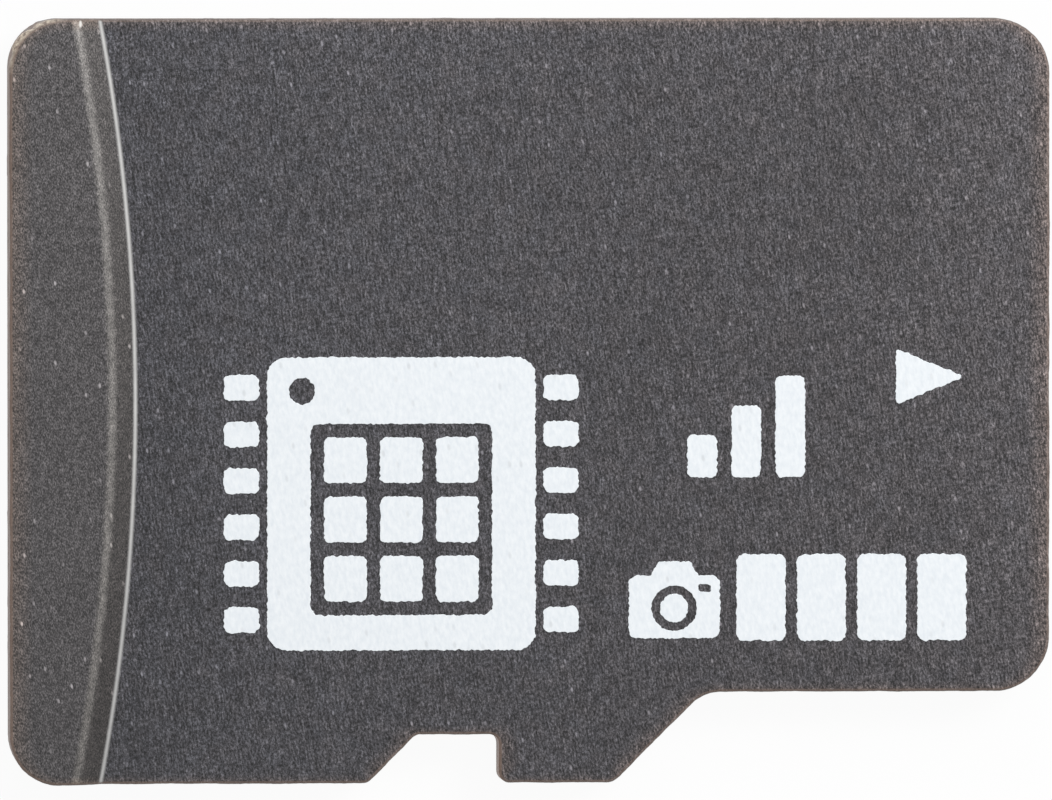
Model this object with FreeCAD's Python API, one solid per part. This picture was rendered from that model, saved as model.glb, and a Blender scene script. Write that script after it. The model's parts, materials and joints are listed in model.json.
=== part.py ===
import FreeCAD, Part
import math
import os

from FreeCAD import Vector

# Micro memory card: an epoxy moulding over a laminate board, which carries a stepped stack of memory
# dies, a controller die, capacitors, bond wires and the contacts.
# Millimetres. The origin is the middle of the underside, +X points to the contact end, +Y to the
# straight long edge and +Z up, out of the label face.

# Outline of the card, seen from above
CARD_LENGTH = 15.0            # rear edge to contact end
CARD_WIDTH = 11.0             # across the grip end
NOSE_WIDTH = 9.7              # across the contact end
SHOULDER_SETBACK = 6.3        # contact end to where the full width begins
KEY_LAND = 1.65               # stretch of full-width edge between the shoulder and the latch notch
NOTCH_FLOOR = 1.2             # length of the notch's floor
NOTCH_DEPTH = 0.7
SLOPE_ANGLE = 45.0            # degrees, of the shoulder and of the notch's rear side
REAR_CORNER_RADIUS = 0.7
NOSE_CORNER_RADIUS = 0.8
SHOULDER_ROOT_RADIUS = 0.6    # hollow corner where the shoulder meets the nose
SHOULDER_TIP_RADIUS = 0.25    # outer corner where the shoulder meets the full width
NOTCH_CORNER_RADIUS = 0.15
ARC_SHARE = 0.45              # most of a side that one rounded corner may take up

# Heights
BOARD_THICKNESS = 0.13
BODY_THICKNESS = 0.7          # underside to label face
GRIP_RISE = 0.3               # label face to the top of the grip lip
TOP_EDGE_RADIUS = 0.05
UNDERSIDE_EDGE_RADIUS = 0.04

# Grip lip, bowed in plan
GRIP_FOOT_SETBACK = 1.8       # rear edge to the foot of the lip, at mid width
GRIP_SLOPE_RUN = 0.34         # foot to crest, seen from above
GRIP_BOW_RADIUS = 30.0        # of the foot line
GRIP_CREST_RADIUS = 0.2
GRIP_FOOT_RADIUS = 0.1

# Contacts, in pin order from the keyed edge to the straight edge
CONTACT_NAMES = ("data_2", "data_3", "command", "supply", "clock", "ground", "data_0", "data_1")
EARLY_CONTACTS = ("supply", "ground")
CONTACT_PITCH = 1.1
CONTACT_WIDTH = 0.8
CONTACT_LENGTH = 2.9
CONTACT_SETBACK = 1.1         # contact end to the tip of a signal contact
EARLY_REACH = 0.3             # how much nearer to the contact end an early contact starts
CONTACT_THICKNESS = 0.03
CONTACT_RECESS = 0.01         # underside to the contact's face
CONTACT_CORNER_RADIUS = 0.12

# Memory dies, each set back from the edge of the one below so that its bond pads stay open
MEMORY_DIE_COUNT = 4
MEMORY_DIE_LENGTH = 7.4
MEMORY_DIE_THICKNESS = 0.05
MEMORY_STEP = 0.3
MOULD_WALL = 0.55             # moulding compound between the stack and the card's edges

# Controller die, in front of the stack
CONTROLLER_GAP = 1.2          # front of the stack to the controller
CONTROLLER_LENGTH = 2.4
CONTROLLER_WIDTH = 3.2
CONTROLLER_THICKNESS = 0.1

# Capacitors beside the controller: ceramic blocks with a metal cap on each end
CAPACITOR_LENGTH = 0.6
CAPACITOR_WIDTH = 0.3
CAPACITOR_CAP_LENGTH = 0.15
CAPACITOR_CAP_STEP = 0.01     # how far a cap stands proud of the ceramic
CAPACITOR_ASIDE = 1.1         # controller's edge to the middle of a capacitor
CAPACITOR_SPACING = 1.2       # middle to middle of two capacitors in a row

# Bond wires, of square section
WIRE_SIZE = 0.02
WIRE_LOOP = 0.06              # height of the loop over the die that a wire starts on
WIRE_LEVEL_SHARE = 0.4        # part of a wire's reach that runs level before it slopes down
BOND_INSET = 0.1              # die edge to the pads that wires rise from
BOND_SPACING = 0.06           # a wire's landing to the wire that rises from the same pad
FINGER_GAP = 0.35             # die edge to the fingers on the board that wires land on
MEMORY_WIRE_COUNT = 12
CONTROLLER_WIRE_COUNT = 8     # on each of its two bonded sides
WIRE_ROW_MARGIN = 0.3         # die corner to the first wire of a row

# Places that follow from the sizes above
rear_x = -CARD_LENGTH / 2
nose_x = CARD_LENGTH / 2
straight_y = CARD_WIDTH / 2
keyed_y = -CARD_WIDTH / 2
nose_keyed_y = straight_y - NOSE_WIDTH
nose_middle_y = (straight_y + nose_keyed_y) / 2
board_top = BOARD_THICKNESS
grip_top = BODY_THICKNESS + GRIP_RISE


def rounded_outline(corners, to_point):
    """A closed wire through (u, v, radius) corners, each rounded by a tangent arc where it has a radius.

    An arc takes at most ARC_SHARE of the shorter side beside its corner.
    """
    points = [to_point(u, v) for u, v, radius in corners]
    bends = []
    for i, (u, v, radius) in enumerate(corners):
        here = points[i]
        to_last = points[i - 1] - here
        to_next = points[(i + 1) % len(points)] - here
        room = ARC_SHARE * min(to_last.Length, to_next.Length)
        to_last.normalize()
        to_next.normalize()
        if radius == 0:
            bends.append((here, None, here))
            continue
        half_angle = to_last.getAngle(to_next) / 2
        setback = min(radius / math.tan(half_angle), room)
        fitted = setback * math.tan(half_angle)
        middle = (to_last + to_next).normalize() * (fitted / math.sin(half_angle) - fitted)
        bends.append((here + to_last * setback, here + middle, here + to_next * setback))
    edges = []
    for i, (start, middle, end) in enumerate(bends):
        if middle is not None:
            edges.append(Part.Arc(start, middle, end).toShape())
        edges.append(Part.LineSegment(end, bends[(i + 1) % len(bends)][0]).toShape())
    return Part.Wire(edges)


def in_plan(x, y):
    return Vector(x, y, 0)


def prism(wire, bottom, top):
    """The solid over a flat wire in plan, from one height to another."""
    solid = Part.Face(wire).extrude(Vector(0, 0, top - bottom))
    solid.translate(Vector(0, 0, bottom))
    return solid


def block(x_range, y_range, z_range):
    """A box between two values along each axis."""
    corner = Vector(x_range[0], y_range[0], z_range[0])
    size = [high - low for low, high in (x_range, y_range, z_range)]
    return Part.makeBox(*size, corner)


def about(middle, size):
    """The two values of a stretch of a given size about its middle."""
    return middle - size / 2, middle + size / 2


def spread(low, high, count):
    """Evenly spaced places from low to high."""
    return [low + (high - low) * i / (count - 1) for i in range(count)]


def card_outline():
    slope = math.tan(math.radians(SLOPE_ANGLE))
    shoulder_tip_x = nose_x - SHOULDER_SETBACK
    shoulder_root_x = shoulder_tip_x + (CARD_WIDTH - NOSE_WIDTH) / slope
    notch_front_x = shoulder_tip_x - KEY_LAND
    notch_rear_x = notch_front_x - NOTCH_FLOOR
    notch_mouth_x = notch_rear_x - NOTCH_DEPTH / slope
    notch_floor_y = keyed_y + NOTCH_DEPTH
    corners = [
        (rear_x, straight_y, REAR_CORNER_RADIUS),
        (rear_x, keyed_y, REAR_CORNER_RADIUS),
        (notch_mouth_x, keyed_y, NOTCH_CORNER_RADIUS),
        (notch_rear_x, notch_floor_y, NOTCH_CORNER_RADIUS),
        (notch_front_x, notch_floor_y, NOTCH_CORNER_RADIUS),
        (notch_front_x, keyed_y, NOTCH_CORNER_RADIUS),
        (shoulder_tip_x, keyed_y, SHOULDER_TIP_RADIUS),
        (shoulder_root_x, nose_keyed_y, SHOULDER_ROOT_RADIUS),
        (nose_x, nose_keyed_y, NOSE_CORNER_RADIUS),
        (nose_x, straight_y, NOSE_CORNER_RADIUS),
    ]
    return rounded_outline(corners, in_plan)


def rim_edges(solid, bottom, top):
    """The edges that bound the solid's upright walls, between two heights, without the upright ones."""
    rim = []
    for face in solid.Faces:
        u_low, u_high, v_low, v_high = face.ParameterRange
        upright = abs(face.normalAt((u_low + u_high) / 2, (v_low + v_high) / 2).z) < 1e-6
        for edge in face.Edges if upright else ():
            box = edge.BoundBox
            runs_along = max(box.XLength, box.YLength) > 1e-6
            within = bottom - 1e-6 < box.ZMin and box.ZMax < top + 1e-6
            if runs_along and within and not any(edge.isSame(known) for known in rim):
                rim.append(edge)
    return rim


def card_section():
    """A ring about the grip lip's bow axis with the card's section: lip, slope and label face.

    Its seam lies on the far side of the axis from the card.
    """
    axis_x = rear_x + GRIP_FOOT_SETBACK - GRIP_BOW_RADIUS
    inner = GRIP_BOW_RADIUS - GRIP_FOOT_SETBACK - CARD_WIDTH / 2
    outer = GRIP_BOW_RADIUS - GRIP_FOOT_SETBACK + CARD_LENGTH + CARD_WIDTH / 2
    crest = GRIP_BOW_RADIUS - GRIP_SLOPE_RUN
    corners = [
        (inner, 0, 0),
        (outer, 0, 0),
        (outer, BODY_THICKNESS, 0),
        (GRIP_BOW_RADIUS, BODY_THICKNESS, GRIP_FOOT_RADIUS),
        (crest, grip_top, GRIP_CREST_RADIUS),
        (inner, grip_top, 0),
    ]
    section = rounded_outline(corners, lambda r, z: Vector(axis_x - r, 0, z))
    return Part.Face(section).revolve(Vector(axis_x, 0, 0), Vector(0, 0, 1), 360)


def moulded_body(inner_pieces):
    """The moulding: the card's outline and section, over and around every piece on the board."""
    body = prism(card_outline(), board_top, grip_top + GRIP_RISE).common(card_section())
    body = body.Solids[0]
    body = body.makeFillet(TOP_EDGE_RADIUS, rim_edges(body, BODY_THICKNESS, grip_top))
    return body.cut(inner_pieces)


def contact_outlines():
    """Each contact's outline in plan, by name."""
    first_y = nose_middle_y - CONTACT_PITCH * (len(CONTACT_NAMES) - 1) / 2
    outlines = {}
    for i, name in enumerate(CONTACT_NAMES):
        tip_x = nose_x - CONTACT_SETBACK
        tail_x = tip_x - CONTACT_LENGTH
        if name in EARLY_CONTACTS:
            tip_x += EARLY_REACH
        low_y, high_y = about(first_y + CONTACT_PITCH * i, CONTACT_WIDTH)
        places = [(tail_x, low_y), (tip_x, low_y), (tip_x, high_y), (tail_x, high_y)]
        corners = [(x, y, CONTACT_CORNER_RADIUS) for x, y in places]
        outlines[name] = rounded_outline(corners, in_plan)
    return outlines


def contacts():
    """The contact pads, seated on the floors of the board's windows."""
    bottom, top = CONTACT_RECESS, CONTACT_RECESS + CONTACT_THICKNESS
    return {name: prism(outline, bottom, top) for name, outline in contact_outlines().items()}


def substrate():
    """The laminate board, with a window in the underside for each contact."""
    board = prism(card_outline(), 0, board_top)
    board = board.makeFillet(UNDERSIDE_EDGE_RADIUS, rim_edges(board, 0, 0))
    floor = CONTACT_RECESS + CONTACT_THICKNESS
    return board.cut([prism(outline, 0, floor) for outline in contact_outlines().values()])


def memory_die_box(level):
    """The (x, y, z) ranges of one memory die, counted up from the board."""
    rear = rear_x + MOULD_WALL + MEMORY_STEP * (MEMORY_DIE_COUNT - 1 - level)
    low_y = keyed_y + NOTCH_DEPTH + MOULD_WALL
    high_y = straight_y - MOULD_WALL
    bottom = board_top + MEMORY_DIE_THICKNESS * level
    return (rear, rear + MEMORY_DIE_LENGTH), (low_y, high_y), (bottom, bottom + MEMORY_DIE_THICKNESS)


def controller_box():
    """The (x, y, z) ranges of the controller die."""
    rear = memory_die_box(0)[0][1] + CONTROLLER_GAP
    across = about(nose_middle_y, CONTROLLER_WIDTH)
    return (rear, rear + CONTROLLER_LENGTH), across, (board_top, board_top + CONTROLLER_THICKNESS)


def capacitor(middle_x, middle_y):
    """One capacitor: the ceramic between its two end caps, standing on the caps."""
    across = about(middle_y, CAPACITOR_WIDTH)
    up = (board_top, board_top + CAPACITOR_WIDTH)
    rear, front = about(middle_x, CAPACITOR_LENGTH)
    rear_cap = block((rear, rear + CAPACITOR_CAP_LENGTH), across, up)
    front_cap = block((front - CAPACITOR_CAP_LENGTH, front), across, up)
    slimmer = CAPACITOR_WIDTH - 2 * CAPACITOR_CAP_STEP
    middle_z = board_top + CAPACITOR_WIDTH / 2
    ceramic = block((rear, front), about(middle_y, slimmer), about(middle_z, slimmer))
    return ceramic.fuse([rear_cap, front_cap]).removeSplitter()


def capacitors():
    """Two capacitors in a row on each side of the controller."""
    (rear, front), (low_y, high_y), height = controller_box()
    columns = about((rear + front) / 2, CAPACITOR_SPACING)
    rows = (low_y - CAPACITOR_ASIDE, high_y + CAPACITOR_ASIDE)
    return [capacitor(x, y) for y in rows for x in columns]


def bond_wire(start, direction, reach, drop):
    """One bond wire that rises from a pad, runs level and slopes down to its landing.

    It lies in the upright plane through start along direction.
    """
    half = WIRE_SIZE / 2
    level = reach * WIRE_LEVEL_SHARE
    landing = reach + half
    foot = landing - WIRE_SIZE * (landing - level) / (WIRE_LOOP + drop)
    profile = [
        (-half, 0),
        (-half, WIRE_LOOP),
        (level, WIRE_LOOP),
        (landing, -drop),
        (foot, -drop),
        (level, WIRE_LOOP - WIRE_SIZE),
        (half, WIRE_LOOP - WIRE_SIZE),
        (half, 0),
    ]
    across = direction.cross(Vector(0, 0, 1)) * WIRE_SIZE
    corner = start - across / 2
    points = [corner + direction * along + Vector(0, 0, up) for along, up in profile]
    return Part.Face(Part.makePolygon(points + points[:1])).extrude(across)


def memory_bond_wires():
    """Wires that step down the stack's bond pads, die by die, to the board."""
    forward = Vector(1, 0, 0)
    low_y, high_y = memory_die_box(0)[1]
    wires = []
    for level in range(MEMORY_DIE_COUNT):
        along, across, height = memory_die_box(level)
        reach = MEMORY_STEP - BOND_SPACING if level > 0 else BOND_INSET + FINGER_GAP
        for y in spread(low_y + WIRE_ROW_MARGIN, high_y - WIRE_ROW_MARGIN, MEMORY_WIRE_COUNT):
            start = Vector(along[1] - BOND_INSET, y, height[1])
            wires.append(bond_wire(start, forward, reach, MEMORY_DIE_THICKNESS))
    return Part.Compound(wires)


def controller_bond_wires():
    """Wires from the controller's two long sides to the board."""
    (rear, front), (low_y, high_y), (bottom, top) = controller_box()
    reach = BOND_INSET + FINGER_GAP
    wires = []
    for x in spread(rear + WIRE_ROW_MARGIN, front - WIRE_ROW_MARGIN, CONTROLLER_WIRE_COUNT):
        for y, side in ((low_y + BOND_INSET, -1), (high_y - BOND_INSET, 1)):
            direction = Vector(0, side, 0)
            wires.append(bond_wire(Vector(x, y, top), direction, reach, CONTROLLER_THICKNESS))
    return Part.Compound(wires)


def all_pieces():
    """Every piece of the card, by node name."""
    inner = {}
    for level in range(MEMORY_DIE_COUNT):
        inner[f"memory_die_{level + 1}"] = block(*memory_die_box(level))
    inner["controller_die"] = block(*controller_box())
    for i, piece in enumerate(capacitors()):
        inner[f"decoupling_capacitor_{i + 1}"] = piece
    inner["memory_bond_wires"] = memory_bond_wires()
    inner["controller_bond_wires"] = controller_bond_wires()
    outer = {f"contact_{name}": pad for name, pad in contacts().items()}
    outer["substrate"] = substrate()
    inner_solids = [solid for piece in inner.values() for solid in piece.Solids]
    outer["moulded_body"] = moulded_body(inner_solids)
    return {**outer, **inner}


os.makedirs("parts", exist_ok=True)
for node, shape in all_pieces().items():
    shape.exportStep(f"parts/{node}.step")
    print(f"{node}: {len(shape.Solids)} solid(s), {shape.Volume:.4f} mm3, valid {shape.isValid()}")
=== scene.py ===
import json
import math

import bpy
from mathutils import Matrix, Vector, kdtree, noise
from mathutils.geometry import delaunay_2d_cdt


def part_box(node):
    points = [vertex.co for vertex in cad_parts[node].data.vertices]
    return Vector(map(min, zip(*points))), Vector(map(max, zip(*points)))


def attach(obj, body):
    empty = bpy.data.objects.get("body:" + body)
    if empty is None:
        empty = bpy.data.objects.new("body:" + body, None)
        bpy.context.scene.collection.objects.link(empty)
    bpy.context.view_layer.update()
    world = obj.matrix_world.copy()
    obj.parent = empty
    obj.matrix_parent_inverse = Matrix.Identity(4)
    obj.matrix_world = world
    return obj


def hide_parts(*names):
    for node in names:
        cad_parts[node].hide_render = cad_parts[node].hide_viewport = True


# Looks of a micro memory card. Shapes are worked out in millimetres, in the frame of the CAD model, and
# scaled to metres when they become meshes.

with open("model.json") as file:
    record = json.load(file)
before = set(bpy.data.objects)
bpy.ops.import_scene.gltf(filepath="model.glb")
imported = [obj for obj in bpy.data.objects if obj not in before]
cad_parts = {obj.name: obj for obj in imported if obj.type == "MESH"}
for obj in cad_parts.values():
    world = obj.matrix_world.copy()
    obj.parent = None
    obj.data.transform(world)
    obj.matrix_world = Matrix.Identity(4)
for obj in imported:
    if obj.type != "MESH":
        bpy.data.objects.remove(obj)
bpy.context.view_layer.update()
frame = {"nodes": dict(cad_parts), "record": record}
MM = 0.001

# The card's box, from the frame
BODY_LOW, BODY_HIGH = (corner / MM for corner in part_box("moulded_body"))
REAR_X, KEYED_Y, BOARD_TOP = BODY_LOW
NOSE_X, STRAIGHT_Y, GRIP_TOP = BODY_HIGH

# Outline of the card, seen from above
NOSE_WIDTH = 9.7
SHOULDER_SETBACK = 6.3
KEY_LAND = 1.65
NOTCH_FLOOR = 1.2
NOTCH_DEPTH = 0.7
REAR_CORNER_RADIUS = 0.7
NOSE_CORNER_RADIUS = 0.8
SHOULDER_ROOT_RADIUS = 0.6
SHOULDER_TIP_RADIUS = 0.25
NOTCH_CORNER_RADIUS = 0.15
EDGE_RADIUS = 0.05
OUTLINE_SPACING = 0.024
ARC_STEPS = 16

# Section through the grip lip
LABEL_Z = 0.7
GRIP_FOOT_SETBACK = 1.8
GRIP_SLOPE_RUN = 0.34
GRIP_BOW_RADIUS = 30.0
GRIP_CREST_RADIUS = 0.2
GRIP_FOOT_RADIUS = 0.1
GRIP_AXIS_X = REAR_X + GRIP_FOOT_SETBACK - GRIP_BOW_RADIUS
GRIP_RISE = GRIP_TOP - LABEL_Z
GRIP_SLOPE = math.atan2(GRIP_RISE, GRIP_SLOPE_RUN)
CREST_REACH = GRIP_CREST_RADIUS * math.tan(GRIP_SLOPE / 2)
FOOT_REACH = GRIP_FOOT_RADIUS * math.tan(GRIP_SLOPE / 2)
CREST_START = -GRIP_SLOPE_RUN - CREST_REACH
CREST_END = -GRIP_SLOPE_RUN + CREST_REACH * math.cos(GRIP_SLOPE)
FOOT_START = -FOOT_REACH * math.cos(GRIP_SLOPE)
FOOT_END = FOOT_REACH
SLOPE_MIDDLE = (CREST_END + FOOT_START) / 2

# Points of the mesh on the lip, and rings of points up the wall, over the rim and on to the face
LIP_ROUND_STEPS = 7
LIP_MARGINS = (0.03, 0.1)
LIP_LINE_SPACING = 0.06
LIP_LINE_END_GAP = 0.02
WALL_ROWS = (0.0, 0.15, 0.3, 0.45, 0.6, 0.74, 0.84, 0.92, 1.0)
EDGE_ROWS = 6
FLAT_RINGS = (0.02, 0.06)

# Unevenness of the cut edge: depths in millimetres, waves per millimetre
CUT_FINE_DEPTH = 0.0042
CUT_FINE_WAVE = 14.0
CUT_FINE_RISE = 3
CUT_COARSE_DEPTH = 0.0096
CUT_COARSE_WAVE = 3.0
CUT_COARSE_LEVEL = 7.3

# The chipped rear corner of the straight edge. Its pale flakes begin and are full at these two drops below
# the lip's top and these two distances from the edge.
CHIP_REACH = 0.85
CHIP_DEPTH = 0.075
CHIP_WAVE = 8.0
CHIP_RISE = 2
CHIP_BEVEL = 0.045
FLAKE_DROP = (6 * CHIP_BEVEL, 2 * CHIP_BEVEL)
FLAKE_REACH = (1.4 * CHIP_BEVEL, 0.5 * CHIP_BEVEL)

# Small pale spot where the lip's crest meets the straight edge
BRIGHT_SPOT_PLACE = (-6.48, 5.43)
BRIGHT_SPOT_SIZE = (0.03, 0.065)

# Brown scorching of the faces beside the cut edge: at the two ends, the straight edge and the keyed edge
SCORCH_REACH = (0.32, 0.18, 0.13)
SCORCH_LEVEL = (1.0, 1.0, 0.9)
SCORCH_RINGS = (0.15, 0.2, 0.26, 0.33)
SCORCH_STEP = 3

# Print
INK_THICKNESS = 0.012
INK_BEVEL = 0.004
INK_SINK = 0.002
INK_RAGGED = 0.013
INK_WAVE = 10.0
INK_LEVEL = 3.1
INK_FRINGE = 0.018
INK_FRINGE_WAVE = 26.0
INK_FRINGE_LEVEL = 8.4
INK_SPACING = 0.018
CIRCLE_POINTS_LEAST = 12

# Colours and tints
WHITE = (1, 1, 1, 1)
FACE_COOL = (0.059, 0.0584, 0.0658, 1)
FACE_WARM = (0.0631, 0.0584, 0.0619, 1)
# The lip's colour, paler towards the straight edge as painted light
LIP_PLAIN = (0.0755, 0.0708, 0.0728, 1)
LIP_PAINTED_LIGHT = (0.0808, 0.0759, 0.0779, 1)
# Slope colours: painted shade at the keyed end, painted light at the straight end
SLOPE_PAINTED_SHADE = (0.0507, 0.046, 0.0448, 1)
SLOPE_PAINTED_LIGHT = (0.083, 0.077, 0.0755, 1)
# Crest colours: a painted highlight, brighter towards the straight edge
CREST_PAINTED_HIGHLIGHT = (0.169, 0.158, 0.149, 1)
CREST_PAINTED_HIGHLIGHT_BRIGHT = (0.217, 0.205, 0.196, 1)
# Foot line colour: a painted highlight
FOOT_PAINTED_HIGHLIGHT = (0.61, 0.605, 0.594, 1)
BRIGHT_SPOT_PALE = (0.732, 0.708, 0.673, 1)
SCORCH_TINT = (1.62, 1.4, 1.22, 1)
CUT_DARK = (0.101, 0.0779, 0.0661, 1)
CUT_LIGHT = (0.123, 0.0944, 0.0802, 1)
# Painted light on the cut walls by the way they face: at the straight edge, the rear end and the notch
STRAIGHT_WALL_PAINTED_LIGHT = (1.26, 1.32, 1.4, 1)
REAR_WALL_PAINTED_LIGHT = (1.4, 1.08, 0.94, 1)
NOTCH_WALL_PAINTED_LIGHT = (2.3, 1.8, 1.55, 1)
# Brown rim of wear, made paler by painted light
RIM_WEAR_AND_PAINTED_LIGHT = (0.25, 0.176, 0.141, 1)
FLAKE_PALE = (0.708, 0.614, 0.496, 1)
INK_GREY = (0.82, 0.868, 0.912, 1)
INK_WHITE = (0.925, 0.962, 0.99, 1)
INK_PIT = (0.5, 0.52, 0.54, 1)
BOARD_DARK = (0.177, 0.118, 0.0861, 1)
BOARD_LIGHT = (0.283, 0.195, 0.144, 1)
MASK_EDGE = (0.02, 0.021, 0.023, 1)
MASK_DARK = (0.017, 0.018, 0.02, 1)
MASK_LIGHT = (0.024, 0.025, 0.028, 1)
CONTACT_BRIGHT = (0.83, 0.61, 0.28, 1)
CONTACT_DULL = (0.72, 0.5, 0.22, 1)
WIRE_BRIGHT = (0.85, 0.62, 0.25, 1)
WIRE_DULL = (0.8, 0.57, 0.22, 1)
SILICON_DARK = (0.1, 0.11, 0.14, 1)
SILICON_LIGHT = (0.14, 0.15, 0.18, 1)
CERAMIC_DARK = (0.42, 0.3, 0.2, 1)
CERAMIC_LIGHT = (0.5, 0.37, 0.25, 1)
FLOOR_GREY = (0.9, 0.9, 0.9, 1)

# Ranges in which most of a noise lies
NOISE_RANGE = (0.3, 0.7)
WIDE_NOISE_RANGE = (0.2, 0.8)

# Grain of the moulding, and its specks; pairs are for the label and the lip
GRAIN_LEAN = math.radians(9)
GRAIN_STREAKS = 0.36
GRAIN_FINE = 0.25
GRAIN_DEPTH = (4.5, 2.3)
GRAIN_DEPTH_ON_CREST = 0.55
GRAIN_LEAST = 0.1
GRAIN_POWER = 2.2
GRAIN_RELIEF_ON_FOOT = 0.1
SPECK_LEAN = math.radians(12)
SPECK_SHARE = (0.36, 0.4)
SPECK_TONE = (3.6, 5.0)
SPECK_CORE = 0.3

# Broad differences of the moulding's tone, as factors of its colour, and where they change: random clouds and
# mottle, painted light that pales the face to the nose and the straight edge, and painted shade across the
# front half
TONE_CLOUDS = (0.94, 1.06)
TONE_MOTTLE = (0.8, 1.2)
PAINTED_LIGHT_REAR_TO_NOSE = (0.93, 1.08)
PAINTED_LIGHT_KEYED_TO_STRAIGHT = (0.92, 1.08)
PAINTED_SHADE_FRONT_HALF = 0.94
PAINTED_LIGHT_NOSE = 1.16
PAINTED_LIGHT_NOSE_REACH = 2.0
PAINTED_LIGHT_STRAIGHT = 1.1
PAINTED_LIGHT_STRAIGHT_REACH = (1.2, 0.2)
TONE_BESIDE_FOOT = 0.95
WARMTH_PLACES = (-5, 7)
WARMTH_CHANGE = (-0.2, 0.25)

# Painted highlight lines at the lip's foot and crest, where the surface is also polished smoother, with
# places in millimetres from the foot line; the foot line fades towards the keyed edge and the lip is paler
# towards the straight edge, as painted light
FOOT_LINE_PLACE = 0.015
FOOT_LINE_REACH = 0.051
FOOT_LINE_POWER = 1.3
FOOT_LINE_LEAST = 0.85
FOOT_LINE_FADE = 0.75
CREST_LINE_KEYED = 0.35
CREST_LINE_MIDDLE = 0.33
CREST_LINE_REACH = (0.105, 0.005)
CREST_LINE_LEAST = 0.8
HIGHLIGHT_FADE_KEYED_Y = -5.0
PAINTED_LIGHT_Y = (-4.5, 4.5)

# Cut walls: how far one has to face a direction, how near it is to the rear end, and its rim's strength,
# which set the painted light on the walls and the rim
FACING_NONE = 0.2
FACING_FULL = 0.8
REAR_END_REACH = (1.0, 0.3)
RIM_TO_NOSE = 0.25
RIM_TO_STRAIGHT = 0.1

# Shine of the moulding and the ink
MOULDING_SPECULAR = 0.35
LABEL_ROUGHNESS = 0.66
LIP_ROUGHNESS = 0.56
WALL_ROUGHNESS = 0.46
FOOT_POLISH = 0.2
CREST_POLISH = 0.5
INK_ROUGHNESS = 0.55


# Outlines

def rounded_loop(corners, spacing):
    """Evenly spaced points along a closed outline of (x, y, radius) corners, each rounded by an arc."""
    path = []
    for i, (x, y, radius) in enumerate(corners):
        here = Vector((x, y))
        to_last = (Vector(corners[i - 1][:2]) - here).normalized()
        to_next = (Vector(corners[(i + 1) % len(corners)][:2]) - here).normalized()
        half = to_last.angle(to_next) / 2
        centre = here + (to_last + to_next).normalized() * (radius / math.sin(half))
        start = here + to_last * (radius / math.tan(half)) - centre
        end = here + to_next * (radius / math.tan(half)) - centre
        turn = start.angle_signed(end)
        for step in range(ARC_STEPS + 1):
            angle = -turn * step / ARC_STEPS
            c, s = math.cos(angle), math.sin(angle)
            path.append(centre + Vector((c * start.x - s * start.y, s * start.x + c * start.y)))
    return resampled(path, spacing)


def resampled(path, spacing):
    """Points at even distances along a closed path."""
    closed = path + path[:1]
    lengths = [(b - a).length for a, b in zip(closed, closed[1:])]
    count = round(sum(lengths) / spacing)
    step = sum(lengths) / count
    points = []
    done = 0.0
    for a, b, length in zip(closed, closed[1:], lengths):
        while len(points) < count and len(points) * step < done + length:
            share = (len(points) * step - done) / length
            points.append(a.lerp(b, share))
        done += length
    return points


def outward(points):
    """The outward direction at each point of a loop that runs anticlockwise."""
    count = len(points)
    along = [points[(i + 1) % count] - points[i - 1] for i in range(count)]
    return [Vector((t.y, -t.x)).normalized() for t in along]


def plan_noise(point, wave, level):
    """Noise between -1 and 1 at a plan point, in waves per millimetre; each level has its own pattern."""
    return noise.noise(Vector((point.x * wave, point.y * wave, level)))


def smooth_step(low, high, value):
    """0 at low, 1 at high, and a smooth change between them."""
    t = min(1.0, max(0.0, (value - low) / (high - low)))
    return t * t * (3 - 2 * t)


def card_outline():
    """The card's outline, anticlockwise from the rear corner of the keyed edge."""
    nose_keyed_y = STRAIGHT_Y - NOSE_WIDTH
    shoulder_tip_x = NOSE_X - SHOULDER_SETBACK
    shoulder_root_x = shoulder_tip_x + nose_keyed_y - KEYED_Y
    notch_front_x = shoulder_tip_x - KEY_LAND
    notch_rear_x = notch_front_x - NOTCH_FLOOR
    notch_floor_y = KEYED_Y + NOTCH_DEPTH
    corners = [
        (REAR_X, KEYED_Y, REAR_CORNER_RADIUS),
        (notch_rear_x - NOTCH_DEPTH, KEYED_Y, NOTCH_CORNER_RADIUS),
        (notch_rear_x, notch_floor_y, NOTCH_CORNER_RADIUS),
        (notch_front_x, notch_floor_y, NOTCH_CORNER_RADIUS),
        (notch_front_x, KEYED_Y, NOTCH_CORNER_RADIUS),
        (shoulder_tip_x, KEYED_Y, SHOULDER_TIP_RADIUS),
        (shoulder_root_x, nose_keyed_y, SHOULDER_ROOT_RADIUS),
        (NOSE_X, nose_keyed_y, NOSE_CORNER_RADIUS),
        (NOSE_X, STRAIGHT_Y, NOSE_CORNER_RADIUS),
        (REAR_X, STRAIGHT_Y, REAR_CORNER_RADIUS),
    ]
    return rounded_loop(corners, OUTLINE_SPACING)


# Moulding

def from_foot(point):
    """Distance in plan from the foot line of the grip lip, positive on the label's side."""
    return math.hypot(point[0] - GRIP_AXIS_X, point[1]) - GRIP_BOW_RADIUS


def top_height(point):
    """Height of the card's upper face: label, slope of the lip with its rounded foot and crest, lip."""
    r = from_foot(point)
    if r <= CREST_START:
        return GRIP_TOP
    if r <= CREST_END:
        return GRIP_TOP - GRIP_CREST_RADIUS + math.sqrt(GRIP_CREST_RADIUS**2 - (r - CREST_START) ** 2)
    if r <= FOOT_START:
        return LABEL_Z - r * math.tan(GRIP_SLOPE)
    if r <= FOOT_END:
        return LABEL_Z + GRIP_FOOT_RADIUS - math.sqrt(GRIP_FOOT_RADIUS**2 - (FOOT_END - r) ** 2)
    return LABEL_Z


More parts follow.
